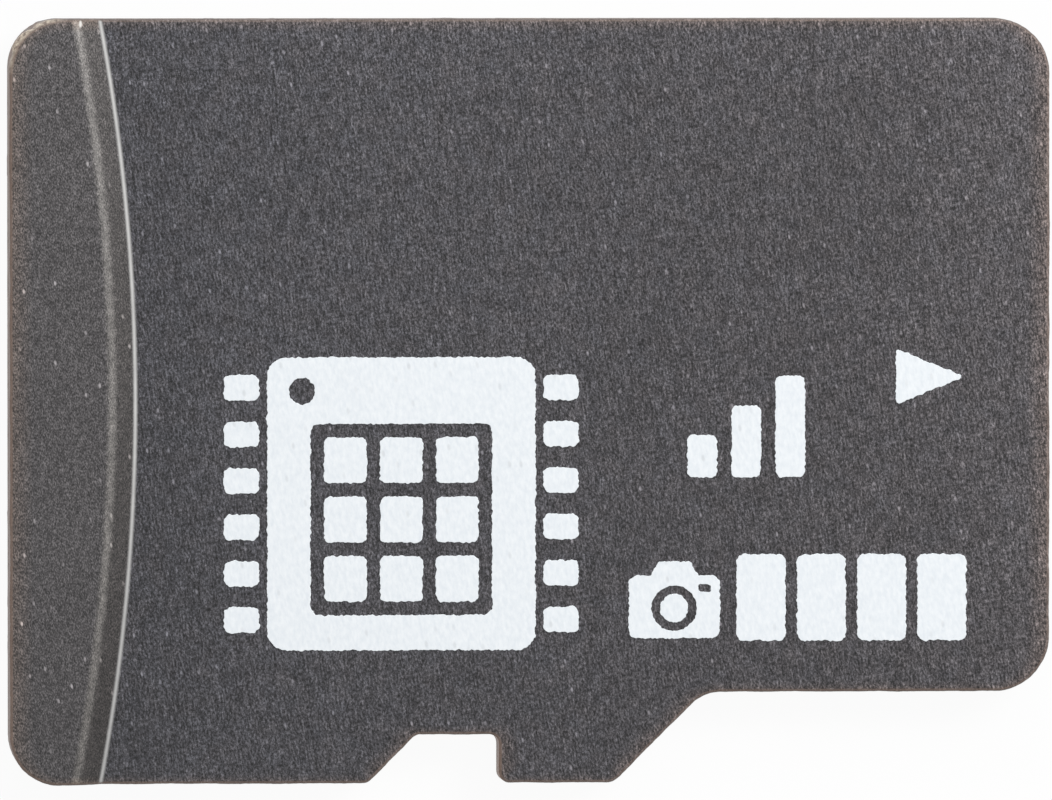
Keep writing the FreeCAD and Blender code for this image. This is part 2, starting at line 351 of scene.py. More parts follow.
def lip_lines():
    """Distances from the foot line at which the lip's section needs points."""
    steps = range(LIP_ROUND_STEPS + 1)
    crest = [CREST_START + (CREST_END - CREST_START) * i / LIP_ROUND_STEPS for i in steps]
    foot = [FOOT_START + (FOOT_END - FOOT_START) * i / LIP_ROUND_STEPS for i in steps]
    behind = [CREST_START - margin for margin in reversed(LIP_MARGINS)]
    ahead = [FOOT_END + margin for margin in LIP_MARGINS]
    return behind + crest + [SLOPE_MIDDLE] + foot + ahead


def lip_grid():
    """Plan points along the lines of the lip, and the pairs of points that those lines join."""
    half_width = STRAIGHT_Y - EDGE_RADIUS - FLAT_RINGS[-1] - LIP_LINE_END_GAP
    steps = round(2 * half_width / LIP_LINE_SPACING)
    points, lines = [], []
    for r in lip_lines():
        radius = GRIP_BOW_RADIUS + r
        for step in range(steps + 1):
            y = half_width * (2 * step / steps - 1)
            points.append((GRIP_AXIS_X + math.sqrt(radius**2 - y**2), y))
            if step:
                lines.append((len(points) - 2, len(points) - 1))
    return points, lines


def chipped(point):
    """1 in the middle of the chipped corner, falling to 0 away from it."""
    from_corner = (point - Vector((REAR_X, STRAIGHT_Y))).length
    return smooth_step(CHIP_REACH, CHIP_REACH / 2, from_corner)


def cut_roughness(point, height):
    """How far the cut edge stands out of or behind the true outline at a point."""
    fine = plan_noise(point, CUT_FINE_WAVE, height * CUT_FINE_RISE)
    coarse = plan_noise(point, CUT_COARSE_WAVE, CUT_COARSE_LEVEL)
    flake = plan_noise(point, CHIP_WAVE, height * CHIP_RISE)
    depth = CHIP_DEPTH * chipped(point) * smooth_step(BOARD_TOP, GRIP_TOP - CHIP_BEVEL, height)
    return CUT_FINE_DEPTH * fine + CUT_COARSE_DEPTH * coarse + depth * flake


def moulding_rows(outline, directions):
    """Rings of (point, wall) round the card, up the wall, over the rounded rim and on to the top.

    Wall is 1 on the cut wall and falls to 0 over the rim.
    """
    radii = [EDGE_RADIUS + CHIP_BEVEL * chipped(p) for p in outline]
    tops = [top_height(p - n * radius) for p, n, radius in zip(outline, directions, radii)]
    rings = []
    for share in WALL_ROWS:
        ring = []
        for p, n, radius, top in zip(outline, directions, radii, tops):
            z = BOARD_TOP + (top - radius - BOARD_TOP) * share
            place = p + n * cut_roughness(p, z)
            ring.append(((place.x, place.y, z), 1.0))
        rings.append(ring)
    for row in range(1, EDGE_ROWS + 1):
        share = row / EDGE_ROWS
        angle = math.pi / 2 * share
        ring = []
        for p, n, radius, top in zip(outline, directions, radii, tops):
            inset = radius * (1 - math.cos(angle))
            place = p + n * (cut_roughness(p, top) * (1 - share) - inset)
            ring.append(((place.x, place.y, top - radius * (1 - math.sin(angle))), 1 - share))
        rings.append(ring)
    for extra in FLAT_RINGS:
        flat = [p - n * (radius + extra) for p, n, radius in zip(outline, directions, radii)]
        rings.append([((p.x, p.y, top_height(p)), 0.0) for p in flat])
    return rings


def outline_tree(outline):
    """A search tree of the outline's points."""
    tree = kdtree.KDTree(len(outline))
    for i, p in enumerate(outline):
        tree.insert(p.to_3d(), i)
    tree.balance()
    return tree


def scorch(distance, direction):
    """How brown the face is at a distance from the cut edge, which faces a direction there."""
    weights = (direction.x**2, max(0.0, direction.y) ** 2, min(0.0, direction.y) ** 2)
    reach = sum(w * r for w, r in zip(weights, SCORCH_REACH))
    level = sum(w * v for w, v in zip(weights, SCORCH_LEVEL))
    return level * max(0.0, 1 - distance / reach)


def scorch_points(outline, directions, tree):
    """Points beside the cut edge, in rows along it, that are as far from all of it as their row is."""
    points = []
    for inset in SCORCH_RINGS:
        for p, n in list(zip(outline, directions))[::SCORCH_STEP]:
            place = p - n * inset
            if tree.find(place.to_3d())[2] > inset - OUTLINE_SPACING / 2:
                points.append((place.x, place.y))
    return points


def edge_wear(vertices, directions, tree):
    """How scorched and how chipped the surface is at each vertex."""
    scorches, chips = [], []
    for x, y, z in vertices:
        i, distance = tree.find((x, y, 0))[1:]
        scorches.append(scorch(distance, directions[i]))
        at_rim = smooth_step(GRIP_TOP - FLAKE_DROP[0], GRIP_TOP - FLAKE_DROP[1], z)
        near_edge = smooth_step(*FLAKE_REACH, distance)
        chips.append(chipped(Vector((x, y))) * at_rim * near_edge)
    return scorches, chips


def ring_faces(rows, count):
    """Four-sided faces between rings of count vertices, which follow each other in rows."""
    faces = []
    for row in range(rows - 1):
        low, high = row * count, (row + 1) * count
        faces += [(low + i, low + (i + 1) % count, high + (i + 1) % count, high + i) for i in range(count)]
    return faces


def filled(boundary, inside, inside_edges):
    """Triangles that fill a loop of plan points, with further points and lines inside it."""
    points = [Vector(p) for p in boundary] + [Vector(p) for p in inside]
    count = len(boundary)
    edges = [(i, (i + 1) % count) for i in range(count)]
    edges += [(a + count, b + count) for a, b in inside_edges]
    inside_only, tolerance = 1, 1e-6
    result = delaunay_2d_cdt(points, edges, [], inside_only, tolerance)
    return result[0], result[2]


def mesh_object(name, vertices, faces, material, values):
    """A new object from millimetre vertices, with smooth faces and named values at its vertices."""
    mesh = bpy.data.meshes.new(name)
    mesh.from_pydata([tuple(c * MM for c in v) for v in vertices], [], faces)
    for label, numbers in values.items():
        mesh.attributes.new(label, "FLOAT", "POINT").data.foreach_set("value", numbers)
    mesh.polygons.foreach_set("use_smooth", [True] * len(mesh.polygons))
    mesh.materials.append(material)
    mesh.validate()
    mesh.update()
    piece = bpy.data.objects.new(name, mesh)
    bpy.context.scene.collection.objects.link(piece)
    return piece


def build_moulding(material):
    """The moulded body with its ragged cut edge and the bowed grip lip, closed underneath."""
    outline = card_outline()
    directions = outward(outline)
    tree = outline_tree(outline)
    rings = moulding_rows(outline, directions)
    count = len(outline)
    vertices = [place for ring in rings for place, wall in ring]
    walls = [wall for ring in rings for place, wall in ring]
    faces = ring_faces(len(rings), count)

    inside, lines = lip_grid()
    inside += scorch_points(outline, directions, tree)
    points, triangles = filled([place[:2] for place, wall in rings[-1]], inside, lines)
    first = (len(rings) - 1) * count
    extra = points[count:]
    vertices += [(p.x, p.y, top_height(p)) for p in extra]
    faces += [tuple(i + first for i in t) for t in triangles]
    bottom = filled([place[:2] for place, wall in rings[0]], [], [])[1]
    faces += [tuple(reversed(t)) for t in bottom]

    scorches, chips = edge_wear(vertices, directions, tree)
    values = {"wall": walls + [0.0] * len(extra), "scorch": scorches, "chip": chips}
    return mesh_object("card_moulding", vertices, faces, material, values)


# Print

def ink_circle(centre, radius):
    """Evenly spaced points on a circle."""
    count = max(CIRCLE_POINTS_LEAST, round(2 * math.pi * radius / INK_SPACING))
    turns = [2 * math.pi * i / count for i in range(count)]
    return [Vector((centre[0] + radius * math.cos(t), centre[1] + radius * math.sin(t))) for t in turns]


def ink_rectangle(low, high, radius):
    """Points along a rectangle with round corners."""
    places = [(low[0], low[1]), (high[0], low[1]), (high[0], high[1]), (low[0], high[1])]
    return rounded_loop([(x, y, radius) for x, y in places], INK_SPACING)


def ragged_loop(points):
    """The loop with the uneven edge of printed ink."""
    moved = []
    for p, n in zip(points, outward(points)):
        wobble = plan_noise(p, INK_WAVE, INK_LEVEL)
        fringe = plan_noise(p, INK_FRINGE_WAVE, INK_FRINGE_LEVEL)
        moved.append(p + n * (INK_RAGGED * wobble + INK_FRINGE * fringe))
    return moved


def build_print(name, loops, material):
    """A thin layer of ink on the label face, from outlines; an outline inside another is a hole."""
    curve = bpy.data.curves.new(name, "CURVE")
    curve.dimensions = "2D"
    curve.fill_mode = "BOTH"
    curve.extrude = INK_THICKNESS / 2 - INK_BEVEL
    curve.bevel_depth = INK_BEVEL
    curve.bevel_resolution = 1
    for loop in loops:
        spline = curve.splines.new("POLY")
        points = ragged_loop(loop)
        spline.points.add(len(points) - 1)
        for place, p in zip(spline.points, points):
            place.co = (p.x, p.y, 0, 1)
        spline.use_cyclic_u = True
    shaped = bpy.data.objects.new(name + "_outline", curve)
    bpy.context.scene.collection.objects.link(shaped)
    bpy.context.view_layer.update()
    mesh = bpy.data.meshes.new_from_object(shaped.evaluated_get(bpy.context.evaluated_depsgraph_get()))
    bpy.data.objects.remove(shaped)
    for vertex in mesh.vertices:
        vertex.co.z += LABEL_Z + INK_THICKNESS / 2 - INK_SINK
        vertex.co *= MM
    mesh.materials.clear()
    mesh.materials.append(material)
    piece = bpy.data.objects.new(name, mesh)
    bpy.context.scene.collection.objects.link(piece)
    return piece


def chip_loops():
    """A memory chip seen from above: a body with leads on two sides, a window with cells, and a pin mark."""
    low, high, body_radius = Vector((-4.41, -3.58)), Vector((0.69, 0.63)), 0.28
    lead_length, lead_width, lead_radius, lead_count = 0.62, 0.36, 0.09, 6
    lead_gap, lead_margin = 0.12, 0.1
    window_side, window_bottom, window_top, window_radius = 0.62, 0.5, 0.95, 0.14
    rows, columns, gap, cell_radius = 3, 3, 0.2, 0.08
    mark_side, mark_top, mark_radius = 0.5, 0.48, 0.19

    body_low = low + Vector((lead_length, 0))
    body_high = high - Vector((lead_length, 0))
    loops = [ink_rectangle(body_low, body_high, body_radius)]
    pitch = (high.y - low.y - 2 * lead_margin) / lead_count
    for i in range(lead_count):
        y = low.y + lead_margin + pitch * (i + 0.5)
        for start, end in ((low.x, body_low.x - lead_gap), (body_high.x + lead_gap, high.x)):
            ends = Vector((start, y - lead_width / 2)), Vector((end, y + lead_width / 2))
            loops.append(ink_rectangle(*ends, lead_radius))
    window_low = body_low + Vector((window_side, window_bottom))
    window_high = body_high - Vector((window_side, window_top))
    loops.append(ink_rectangle(window_low, window_high, window_radius))
    size = window_high - window_low
    cell = Vector(((size.x - gap * (columns + 1)) / columns, (size.y - gap * (rows + 1)) / rows))
    for row in range(rows):
        for column in range(columns):
            corner = window_low + Vector((gap + (cell.x + gap) * column, gap + (cell.y + gap) * row))
            loops.append(ink_rectangle(corner, corner + cell, cell_radius))
    loops.append(ink_circle((body_low.x + mark_side, body_high.y - mark_top), mark_radius))
    return loops


def bar_loops():
    """Three bars that grow from left to right."""
    left, bottom, width, gap, radius = 2.27, -1.1, 0.42, 0.215, 0.08
    heights = (0.6, 1.02, 1.45)
    loops = []
    for i, height in enumerate(heights):
        x = left + (width + gap) * i
        loops.append(ink_rectangle((x, bottom), (x + width, bottom + height), radius))
    return loops


def camera_loops():
    """A small camera: body with a hump, lens ring and flash window."""
    left, right, bottom, top, radius = 1.42, 2.73, -3.42, -2.52, 0.12
    hump_rise, hump_foot, hump_crown = 0.2, 0.34, 0.22
    hump_foot_radius, hump_crown_radius = 0.03, 0.05
    ring_radius, lens_radius, lens_drop = 0.33, 0.2, 0.02
    flash_width, flash_height, flash_inset, flash_radius = 0.18, 0.12, 0.12, 0.04

    middle = Vector(((left + right) / 2, (bottom + top) / 2 - lens_drop))
    corners = [
        (left, bottom, radius),
        (right, bottom, radius),
        (right, top, radius),
        (middle.x + hump_foot, top, hump_foot_radius),
        (middle.x + hump_crown, top + hump_rise, hump_crown_radius),
        (middle.x - hump_crown, top + hump_rise, hump_crown_radius),
        (middle.x - hump_foot, top, hump_foot_radius),
        (left, top, radius),
    ]
    body = rounded_loop(corners, INK_SPACING)
    ring = ink_circle(middle, ring_radius)
    lens = ink_circle(middle, lens_radius)
    flash_high = Vector((right - flash_inset, top - flash_inset))
    flash = ink_rectangle(flash_high - Vector((flash_width, flash_height)), flash_high, flash_radius)
    return [body, ring, lens, flash]


def capacity_loops():
    """A row of upright blocks, as a gauge."""
    left, right, bottom, top = 2.98, 6.29, -3.46, -2.22
    count, gap, radius = 4, 0.17, 0.1
    width = (right - left - gap * (count - 1)) / count
    loops = []
    for i in range(count):
        x = left + (width + gap) * i
        loops.append(ink_rectangle((x, bottom), (x + width, top), radius))
    return loops


def arrow_loops():
    """A plain triangle that points to the contact end."""
    back, tip, middle, half_height, radius = 5.28, 6.26, 0.34, 0.4, 0.03
    corners = [
        (back, middle - half_height, radius),
        (tip, middle, radius),
        (back, middle + half_height, radius),
    ]
    return [rounded_loop(corners, INK_SPACING)]


# Shader nodes

def add_node(tree, kind, inputs=None, **settings):
    """A node with its settings and inputs, where an input is a value or another node's output."""
    node = tree.nodes.new(kind)
    for name, value in settings.items():
        setattr(node, name, value)
    for key, value in (inputs or {}).items():
        if isinstance(value, bpy.types.NodeSocket):
            tree.links.new(value, node.inputs[key])
        else:
            node.inputs[key].default_value = value
    return node


def new_finish(name):
    """A new node material and its main shader."""
    material = bpy.data.materials.new(name)
    material.use_nodes = True
    tree = material.node_tree
    return material, tree, tree.nodes["Principled BSDF"]


def math_node(tree, operation, a, b=0.0):
    return add_node(tree, "ShaderNodeMath", {0: a, 1: b}, operation=operation).outputs[0]


def product(tree, first, *others):
    """The product of two or more values."""
    for other in others:
        first = math_node(tree, "MULTIPLY", first, other)
    return first


def vector_node(tree, operation, a, b):
    return add_node(tree, "ShaderNodeVectorMath", {0: a, 1: b}, operation=operation).outputs[0]


def vector_length(tree, vector):
    return add_node(tree, "ShaderNodeVectorMath", {0: vector}, operation="LENGTH").outputs["Value"]


def separated(tree, vector):
    """A vector's X, Y and Z."""
    return add_node(tree, "ShaderNodeSeparateXYZ", {0: vector}).outputs


def mixed(tree, share, a, b):
    return add_node(tree, "ShaderNodeMix", {0: share, 2: a, 3: b}).outputs[0]


def mix_colour(tree, share, a, b):
    return add_node(tree, "ShaderNodeMix", {0: share, 6: a, 7: b}, data_type="RGBA").outputs[2]


def multiplied(tree, a, b):
    """The product of two colours."""
    inputs = {0: 1.0, 6: a, 7: b}
    return add_node(tree, "ShaderNodeMix", inputs, data_type="RGBA", blend_type="MULTIPLY").outputs[2]


def mapped(tree, value, low, high, to_low=0.0, to_high=1.0):
    """A value's range mapped to another range, and held at its ends."""
    inputs = {"Value": value, "From Min": low, "From Max": high, "To Min": to_low, "To Max": to_high}
    return add_node(tree, "ShaderNodeMapRange", inputs).outputs[0]


def varied(tree, texture, low=0.0, high=1.0):
    """The range in which most of a noise lies, mapped to another range."""
    return mapped(tree, texture, *NOISE_RANGE, low, high)


def smooth_mask(tree, value, none, full):
    """0 up to the first value and 1 from the second one, with a smooth change between them."""
    inputs = {"Value": value, "From Min": none, "From Max": full}
    return add_node(tree, "ShaderNodeMapRange", inputs, interpolation_type="SMOOTHSTEP").outputs[0]


def band(tree, distance, middle, outer, inner):
    """1 within inner of the middle, falling smoothly to 0 at outer."""
    off = math_node(tree, "ABSOLUTE", math_node(tree, "SUBTRACT", distance, middle))
    return smooth_mask(tree, off, outer, inner)


def attribute(tree, name):
    return add_node(tree, "ShaderNodeAttribute", attribute_name=name).outputs["Fac"]


def millimetres(tree):
    """The place on the card in millimetres."""
    place = add_node(tree, "ShaderNodeTexCoord").outputs["Object"]
    return vector_node(tree, "DIVIDE", place, (MM, MM, MM))


def streaked(tree, lean=0.0, stretch=1.0, rise=1.0):
    """Object coordinates that stretch a texture along a line leaning from +Y, and in height."""
    place = add_node(tree, "ShaderNodeTexCoord").outputs["Object"]
    inputs = {"Vector": place, "Rotation": (0, 0, lean), "Scale": (1, stretch, rise)}
    return add_node(tree, "ShaderNodeMapping", inputs, vector_type="TEXTURE").outputs[0]


def noise_node(tree, coordinates, size_mm, detail, roughness):
    """Noise whose features are about size_mm across."""
    inputs = {"Vector": coordinates, "Scale": 1 / (size_mm * MM), "Detail": detail, "Roughness": roughness}
    return add_node(tree, "ShaderNodeTexNoise", inputs).outputs["Fac"]


def speck_mask(tree, coordinates, cell_mm, radius_mm, share):
    """Sparse specks of differing strength: one in some of the cells that the surface is divided into."""
    inputs = {"Vector": coordinates, "Scale": 1 / (cell_mm * MM)}
    cells = add_node(tree, "ShaderNodeTexVoronoi", inputs, voronoi_dimensions="2D").outputs
    chance = add_node(tree, "ShaderNodeSeparateColor", {0: cells["Color"]}).outputs
    size = radius_mm / cell_mm
    dot = smooth_mask(tree, cells["Distance"], size, size * SPECK_CORE)
    chosen = math_node(tree, "GREATER_THAN", chance[0], math_node(tree, "SUBTRACT", 1.0, share))
    return product(tree, dot, chosen, chance[1])


def add_bump(tree, shader, height, strength, depth_mm):
    """Gives a shader's surface the relief of a height between 0 and 1."""
    inputs = {"Height": height, "Strength": strength, "Distance": depth_mm * MM}
    tree.links.new(add_node(tree, "ShaderNodeBump", inputs).outputs[0], shader.inputs["Normal"])


# Finish of the moulding

def foot_distance(tree):
    """Distance in plan from the lip's foot line in millimetres, positive on the label's side."""
    from_axis = vector_node(tree, "SUBTRACT", millimetres(tree), (GRIP_AXIS_X, 0, 0))
    flat = vector_node(tree, "MULTIPLY", from_axis, (1, 1, 0))
    return math_node(tree, "SUBTRACT", vector_length(tree, flat), GRIP_BOW_RADIUS)


def bright_spot_mask(tree):
    """A small pale spot where the lip's crest meets the straight edge."""
    width, length = BRIGHT_SPOT_SIZE
    off = vector_node(tree, "SUBTRACT", millimetres(tree), (*BRIGHT_SPOT_PLACE, 0))
    off = vector_node(tree, "MULTIPLY", off, (1 / width, 1 / length, 0))
    return smooth_mask(tree, vector_length(tree, off), none=1.0, full=0.4)


def lip_painted_highlights(tree, distance, along, top):
    """Masks of the painted highlight lines at the lip's foot and crest, where the surface is also polished;
    the foot line fades towards the keyed edge as painted light.
    """
    unevenness = noise_node(tree, streaked(tree), size_mm=0.3, detail=2.0, roughness=0.6)
    # Foot line: painted highlight, fading towards the keyed edge
    line = band(tree, distance, FOOT_LINE_PLACE, FOOT_LINE_REACH, 0.0)
    line = math_node(tree, "POWER", line, FOOT_LINE_POWER)
    faded = mapped(tree, along, HIGHLIGHT_FADE_KEYED_Y, 0, FOOT_LINE_FADE, 1.0)
    foot = product(tree, line, varied(tree, unevenness, FOOT_LINE_LEAST), faded, top)
    # Crest band: painted highlight, where the surface is also polished smoother
    crest_place = mapped(tree, along, HIGHLIGHT_FADE_KEYED_Y, 0, CREST_LINE_KEYED, CREST_LINE_MIDDLE)
    from_crest = math_node(tree, "ADD", distance, crest_place)
    painted_light_share = band(tree, from_crest, 0.0, *CREST_LINE_REACH)
    crest = product(tree, painted_light_share, top, varied(tree, unevenness, CREST_LINE_LEAST))
    return foot, crest


def grain_noise(tree, stretch, size_mm, detail=1.0):
    """Noise that is stretched along the lean of the grain."""
    return noise_node(tree, streaked(tree, GRAIN_LEAN, stretch), size_mm, detail, roughness=0.5)


def moulding_grain(tree, lip):
    """Height of the grain, 0 to 1: leaning streaks on the label face, fine and even on the lip."""
    leaning = grain_noise(tree, stretch=1.8, size_mm=0.025)
    streaks = grain_noise(tree, stretch=5.5, size_mm=0.03)
    fine = grain_noise(tree, stretch=1.0, size_mm=0.012, detail=0.0)
    even = grain_noise(tree, stretch=2.0, size_mm=0.015)
    face = mixed(tree, GRAIN_STREAKS, leaning, streaks)
    face = mixed(tree, GRAIN_FINE, face, fine)
    return mixed(tree, lip, face, even)


def grain_tone(tree, grain, lip, crest):
    """Factor of the colour for the grain's height: strong on the label, calmer on the lip and its crest."""
    on_crest = mapped(tree, crest, 0, 1, 1.0, GRAIN_DEPTH_ON_CREST)
    depth = product(tree, mapped(tree, lip, 0, 1, *GRAIN_DEPTH), on_crest)
    level = product(tree, math_node(tree, "SUBTRACT", grain, 0.5), depth)
    level = math_node(tree, "MAXIMUM", math_node(tree, "ADD", level, 1.0), GRAIN_LEAST)
    return math_node(tree, "POWER", level, GRAIN_POWER)


def tone_and_painted_light(tree, across, along, distance):
    """Factor of the colour for its broad differences: random clouds and mottle, painted light that pales the
    face to the nose and to the straight edge, painted shade across the front half, and a darker band beside
    the lip's foot.
    """
    clouds = noise_node(tree, streaked(tree), size_mm=1.6, detail=3.0, roughness=0.6)
    mottle = grain_noise(tree, stretch=1.5, size_mm=0.09)
    straight_start, straight_end = (STRAIGHT_Y - reach for reach in PAINTED_LIGHT_STRAIGHT_REACH)
    painted_shade_band = band(tree, across, middle=3.0, outer=4.5, inner=0.5)
    beside_foot = band(tree, distance, middle=0.5, outer=0.8, inner=0.35)
    # Painted light to the nose and the straight edge, painted shade across the front half
    return product(
        tree,
        mapped(tree, clouds, *WIDE_NOISE_RANGE, *TONE_CLOUDS),
        varied(tree, mottle, *TONE_MOTTLE),
        mapped(tree, painted_shade_band, 0, 1, 1.0, PAINTED_SHADE_FRONT_HALF),
        mapped(tree, across, NOSE_X - PAINTED_LIGHT_NOSE_REACH, NOSE_X, 1.0, PAINTED_LIGHT_NOSE),
        mapped(tree, along, straight_start, straight_end, 1.0, PAINTED_LIGHT_STRAIGHT),
        mapped(tree, across, REAR_X, NOSE_X, *PAINTED_LIGHT_REAR_TO_NOSE),
        mapped(tree, along, KEYED_Y, STRAIGHT_Y, *PAINTED_LIGHT_KEYED_TO_STRAIGHT),
        mapped(tree, beside_foot, 0, 1, 1.0, TONE_BESIDE_FOOT),
    )


def speck_tone(tree, lip):
    """Pale specks, to be added to the tone."""
    share = mapped(tree, lip, 0, 1, *SPECK_SHARE)
    coordinates = streaked(tree, SPECK_LEAN, stretch=2.0)
    specks = speck_mask(tree, coordinates, cell_mm=0.26, radius_mm=0.024, share=share)
    return product(tree, specks, mapped(tree, lip, 0, 1, *SPECK_TONE))


def moulding_colour(tree, across, along, distance, lip, crest):
    """The compound's own colour on the label and the lip, with painted shade on the slope, a painted
    highlight on the crest, and painted light that pales the lip, its slope and its crest towards the straight
    edge.
    """
    warmth = noise_node(tree, streaked(tree), size_mm=0.35, detail=2.0, roughness=0.6)
    warmth = math_node(tree, "ADD", warmth, mapped(tree, across, *WARMTH_PLACES, *WARMTH_CHANGE))
    # Painted light towards the straight edge, painted shade on the slope and a painted highlight on the crest
    painted_light_share = mapped(tree, along, *PAINTED_LIGHT_Y)
    slope = band(tree, distance, SLOPE_MIDDLE, outer=0.2, inner=0.1)
    colour = mix_colour(tree, mapped(tree, warmth, *WIDE_NOISE_RANGE), FACE_COOL, FACE_WARM)
    colour = mix_colour(tree, lip, colour, mix_colour(tree, painted_light_share, LIP_PLAIN, LIP_PAINTED_LIGHT))
    colour = mix_colour(tree, slope, colour, mix_colour(tree, painted_light_share, SLOPE_PAINTED_SHADE, SLOPE_PAINTED_LIGHT))
    return mix_colour(tree, crest, colour, mix_colour(tree, painted_light_share, CREST_PAINTED_HIGHLIGHT, CREST_PAINTED_HIGHLIGHT_BRIGHT))


def cut_wall(tree, across, to_nose, straight):
    """Colour of the cut wall, with upright striations, and painted light by the way it faces: paler and
    greyer at the straight edge, paler and browner to the rear.
    """
    striations = noise_node(tree, streaked(tree, rise=6.0), size_mm=0.04, detail=2.0, roughness=0.6)
    cut = mix_colour(tree, varied(tree, striations), CUT_DARK, CUT_LIGHT)
    rear_end = smooth_mask(tree, across, *(REAR_X + reach for reach in REAR_END_REACH))
    to_rear = smooth_mask(tree, to_nose, -FACING_NONE, -FACING_FULL)
    painted_light_tint = mix_colour(tree, straight, WHITE, STRAIGHT_WALL_PAINTED_LIGHT)
    painted_light_tint = mix_colour(tree, to_rear, painted_light_tint, mix_colour(tree, rear_end, NOTCH_WALL_PAINTED_LIGHT, REAR_WALL_PAINTED_LIGHT))
    return multiplied(tree, cut, painted_light_tint)


def cut_edge(tree, face_colour, across):
    """The face's colour with brown scorching beside the edge, the cut wall with its painted light, its brown
    rim of wear, paler and stronger where it faces the rear as painted light, and the flakes.
    """
    wall = attribute(tree, "wall")
    facing = separated(tree, add_node(tree, "ShaderNodeNewGeometry").outputs["Normal"])
    to_nose = facing["X"]
    straight = smooth_mask(tree, facing["Y"], FACING_NONE, FACING_FULL)
    patches = noise_node(tree, streaked(tree), size_mm=0.06, detail=3.0, roughness=0.6)
    scorched = product(tree, attribute(tree, "scorch"), varied(tree, patches, low=0.8, high=1.2))
    colour = multiplied(tree, face_colour, mix_colour(tree, scorched, WHITE, SCORCH_TINT))
    cut = cut_wall(tree, across, to_nose, straight)
    colour = mix_colour(tree, smooth_mask(tree, wall, none=0.2, full=0.9), colour, cut)
    # The rim is strongest where it faces the rear end: painted light
    rim = product(
        tree,
        band(tree, wall, middle=0.4, outer=0.4, inner=0.1),
        varied(tree, patches, low=0.6),
        mapped(tree, to_nose, -FACING_FULL, FACING_FULL, 1.0, RIM_TO_NOSE),
        mapped(tree, straight, 0, 1, 1.0, RIM_TO_STRAIGHT),
    )
    colour = mix_colour(tree, rim, colour, RIM_WEAR_AND_PAINTED_LIGHT)
    flaked = mapped(tree, patches, low=0.35, high=0.6, to_low=0.1)
    flakes = product(tree, attribute(tree, "chip"), flaked)
    return mix_colour(tree, flakes, colour, FLAKE_PALE)


def moulding_finish():
    """Grainy dark epoxy with a brown cut edge, painted highlights along the lip's foot and crest, where it is
    also polished, and painted light and shade on the face, the lip and the cut walls.
    """
    material, tree, shader = new_finish("moulding_compound")
    place = separated(tree, millimetres(tree))
    across, along = place["X"], place["Y"]
    distance = foot_distance(tree)
    top = smooth_mask(tree, attribute(tree, "wall"), none=0.6, full=0.0)
    lip = smooth_mask(tree, distance, FOOT_END, FOOT_START)
    foot, crest = lip_painted_highlights(tree, distance, along, top)
    grain = moulding_grain(tree, lip)

    tone = product(tree, grain_tone(tree, grain, lip, crest), tone_and_painted_light(tree, across, along, distance))
    tone = math_node(tree, "ADD", tone, speck_tone(tree, lip))
    plain = moulding_colour(tree, across, along, distance, lip, crest)
    # Scorched and flaked edge, with painted light on the cut walls and the rim
    wear_and_painted_light = cut_edge(tree, multiplied(tree, plain, tone), across)
    wear_and_painted_light = mix_colour(tree, bright_spot_mask(tree), wear_and_painted_light, BRIGHT_SPOT_PALE)
    # Painted highlight of the foot line
    tree.links.new(mix_colour(tree, foot, wear_and_painted_light, FOOT_PAINTED_HIGHLIGHT), shader.inputs["Base Color"])

    shader.inputs["Specular IOR Level"].default_value = MOULDING_SPECULAR
    polished = math_node(tree, "MAXIMUM", foot, product(tree, crest, CREST_POLISH))
    rough = mapped(tree, lip, 0, 1, LABEL_ROUGHNESS, LIP_ROUGHNESS)
    rough = math_node(tree, "SUBTRACT", rough, product(tree, polished, FOOT_POLISH))
    tree.links.new(mixed(tree, top, WALL_ROUGHNESS, rough), shader.inputs["Roughness"])
    height = product(tree, grain, mapped(tree, foot, 0, 1, 1.0, GRAIN_RELIEF_ON_FOOT))
    add_bump(tree, shader, height, strength=0.5, depth_mm=0.006)
    return material


# Other finishes

def ink_finish():
    """Matt white printing ink, slightly cool, with faint streaks and a few grey pits."""
    material, tree, shader = new_finish("label_ink")
    coordinates = streaked(tree, GRAIN_LEAN, stretch=2.2)
    streaks = noise_node(tree, coordinates, size_mm=0.05, detail=2.0, roughness=0.6)
    white = mix_colour(tree, varied(tree, streaks), INK_GREY, INK_WHITE)
    coordinates = streaked(tree, GRAIN_LEAN, stretch=2.0)
    pits = speck_mask(tree, coordinates, cell_mm=0.2, radius_mm=0.035, share=0.4)
    pit_strength = 0.35
    pitted = mix_colour(tree, product(tree, pits, pit_strength), white, INK_PIT)
    tree.links.new(pitted, shader.inputs["Base Color"])
    shader.inputs["Roughness"].default_value = INK_ROUGHNESS
    add_bump(tree, shader, streaks, strength=0.3, depth_mm=0.002)
    return material


